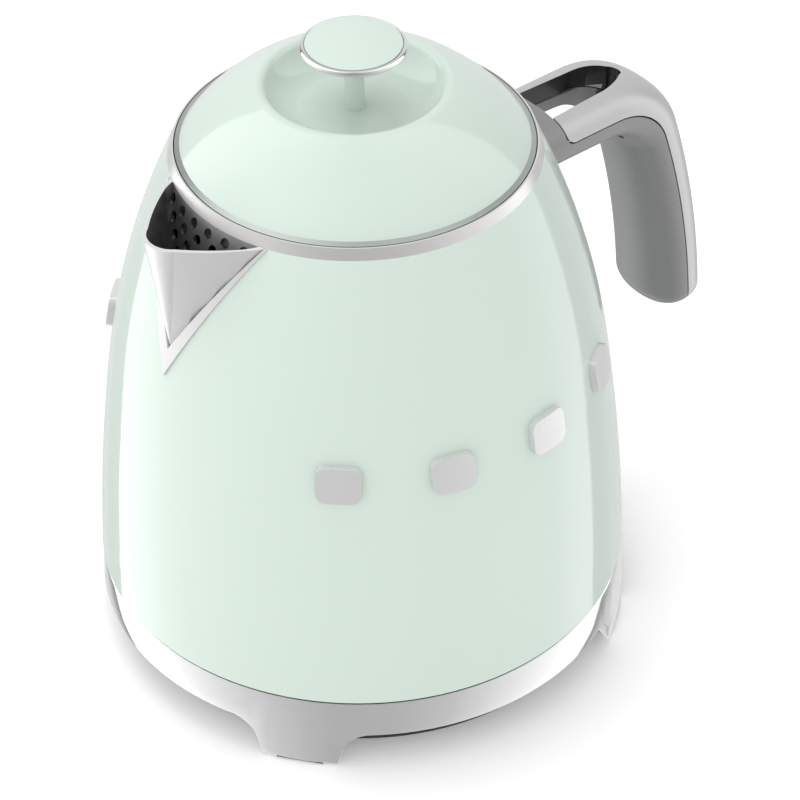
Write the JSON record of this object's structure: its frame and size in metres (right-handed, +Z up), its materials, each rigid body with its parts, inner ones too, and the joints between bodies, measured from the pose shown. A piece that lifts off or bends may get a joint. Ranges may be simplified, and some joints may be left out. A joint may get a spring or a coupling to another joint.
{
  "type": "electric kettle",
  "caption": "Compact round electric kettle with a domed push-in lid, open hook handle, V spout and a swivel power base on feet.",
  "frame": {"origin": "on the standing surface, on the axis of the turned shell and base", "axes": "+Z up, +X towards the handle, -X towards the spout"},
  "size_m": [0.1964, 0.1496, 0.1874],
  "materials": {
    "paint": "gloss",
    "polished": "polished",
    "brushed": "brushed",
    "spout_steel": "satin",
    "grip": "satin",
    "lid_edge": "satin",
    "black_plastic": "fine texture",
    "inner_steel": "satin",
    "aluminium": "satin",
    "brass": "plain",
    "rubber": "matte",
    "liner": "satin",
    "window": "clear"
  },
  "bodies": {
    "root": {"base_skirt": "polished", "foot_pads": "rubber", "base_screws": "inner_steel", "base_deck": "black_plastic", "base_tray": "black_plastic", "cord_gland": "black_plastic", "power_post": "black_plastic", "contact_rings": "brass", "base_terminals": "brass"},
    "socket": {"kettle_socket": "black_plastic"},
    "kettle": {"body_shell": "paint", "collar_ring": "brushed", "spout": "spout_steel", "spout_frame": "spout_steel", "trim_studs": "polished", "tank_floor": "inner_steel", "heat_diffuser": "aluminium", "heating_element": "inner_steel", "element_pins": "inner_steel", "control_housing": "black_plastic", "bimetal_discs": "inner_steel", "cover_standoffs": "inner_steel", "cover_screws": "inner_steel", "under_cover": "black_plastic", "steam_tube": "inner_steel", "steam_seal": "rubber", "switch_housing": "black_plastic", "switch_pin": "inner_steel", "steam_bimetal": "inner_steel", "switch_spring": "inner_steel", "switch_bezel": "black_plastic", "handle_cover": "polished", "handle_grip": "grip", "handle_inserts": "brass", "handle_screws": "inner_steel", "handle_seals": "rubber", "water_window": "window", "window_seal": "rubber", "filter_pin": "inner_steel", "filter_holder": "inner_steel"},
    "switch": {"switch_lever": "polished"},
    "filter": {"filter_frame": "liner", "filter_mesh": "inner_steel"},
    "lid": {"lid_edge_ring": "lid_edge", "lid_gasket": "rubber", "lid_liner": "liner", "lid_dome": "paint", "knob_stem": "paint", "knob_washer": "inner_steel", "knob_screw": "inner_steel", "knob_ring": "polished", "knob_cap": "paint"}
  },
  "joints": [
    {"name": "kettle_lift", "type": "slide", "parent": "root", "child": "socket", "axis": [0, 0, 1], "range_m": [0, 0.04]},
    {"name": "kettle_turn", "type": "hinge", "parent": "socket", "child": "kettle", "pos_m": [0, 0, 0.03], "axis": [0, 0, 1], "continuous": true},
    {"name": "lid_lift", "type": "slide", "parent": "kettle", "child": "lid", "axis": [0, 0, 1], "range_m": [0, 0.03]},
    {"name": "switch_rock", "type": "hinge", "parent": "kettle", "child": "switch", "pos_m": [0.057, 0, 0.0335], "axis": [0, 1, 0], "range_deg": [0, 8]},
    {"name": "filter_tilt", "type": "hinge", "parent": "kettle", "child": "filter", "pos_m": [-0.0445, 0, 0.112], "axis": [0, 1, 0], "range_deg": [0, 20]}
  ]
}
